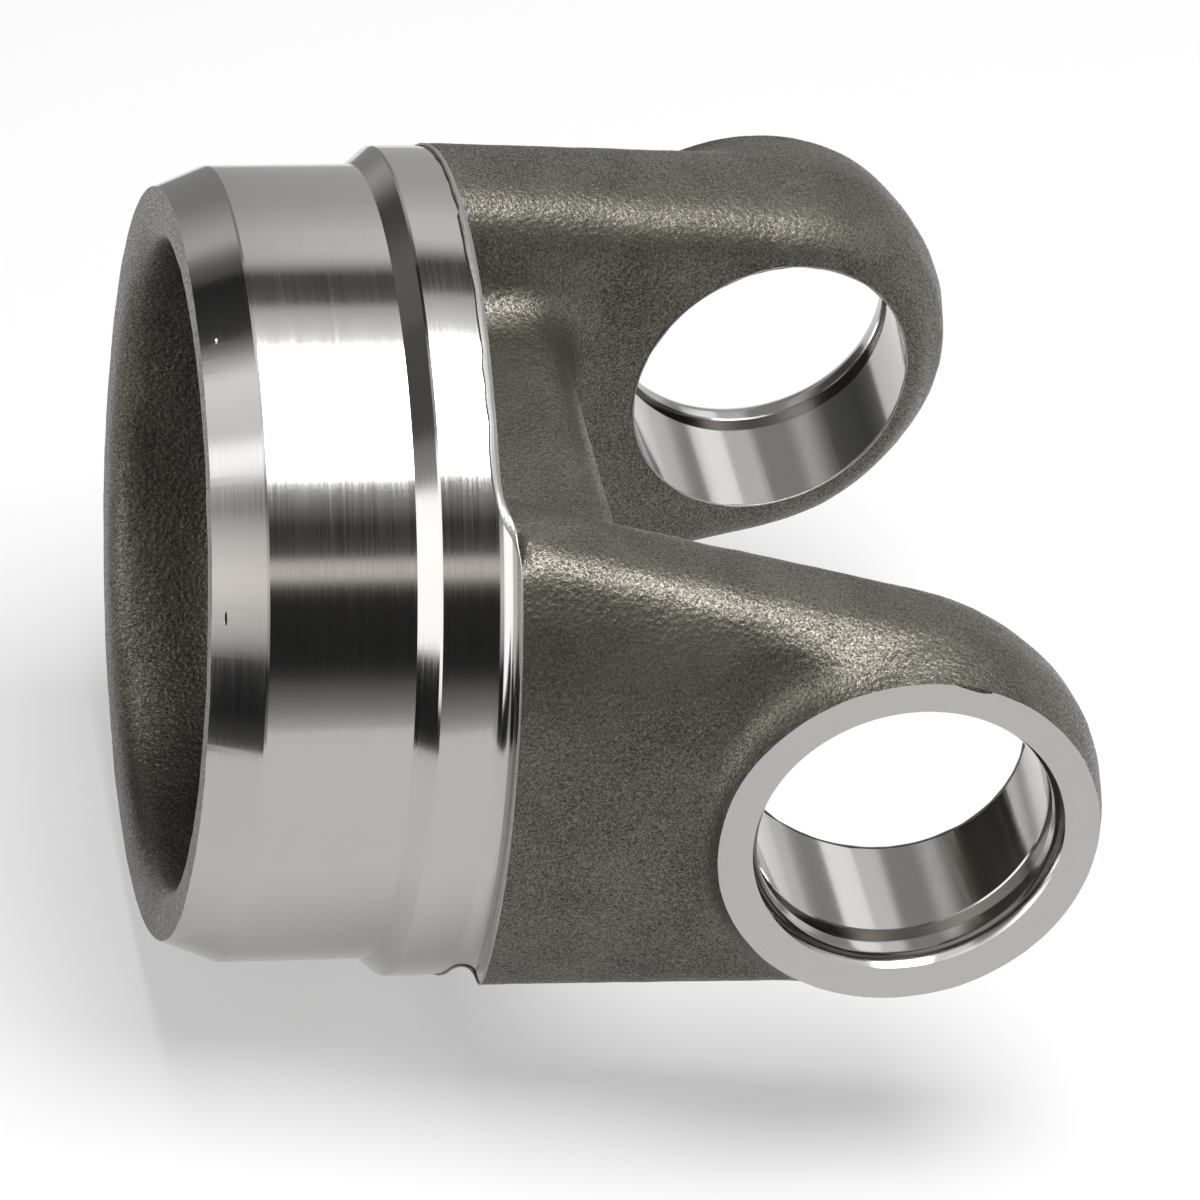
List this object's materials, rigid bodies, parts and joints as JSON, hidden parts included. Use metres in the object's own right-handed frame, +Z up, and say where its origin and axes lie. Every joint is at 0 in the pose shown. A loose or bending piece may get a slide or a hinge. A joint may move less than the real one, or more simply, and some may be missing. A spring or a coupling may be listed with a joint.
{
  "type": "driveshaft weld yoke",
  "caption": "Forged steel yoke that closes the end of a driveshaft tube and holds a joint cross in its two bored ears.",
  "frame": {"origin": "where the tube's axis crosses the axis of the bore through the two ears", "axes": "+X runs along the tube's axis from the seat towards the ears, +Y runs along the cross bore, +Z is up, square to both"},
  "size_m": [0.0812, 0.09, 0.0768],
  "materials": {
    "forged_steel": "as forged and shot blasted, with turned, faced and bored surfaces left bare",
    "turned_steel": "bare bright turned steel with fine tool marks"
  },
  "bodies": {
    "root": {"yoke": "forged_steel"}
  },
  "joints": []
}
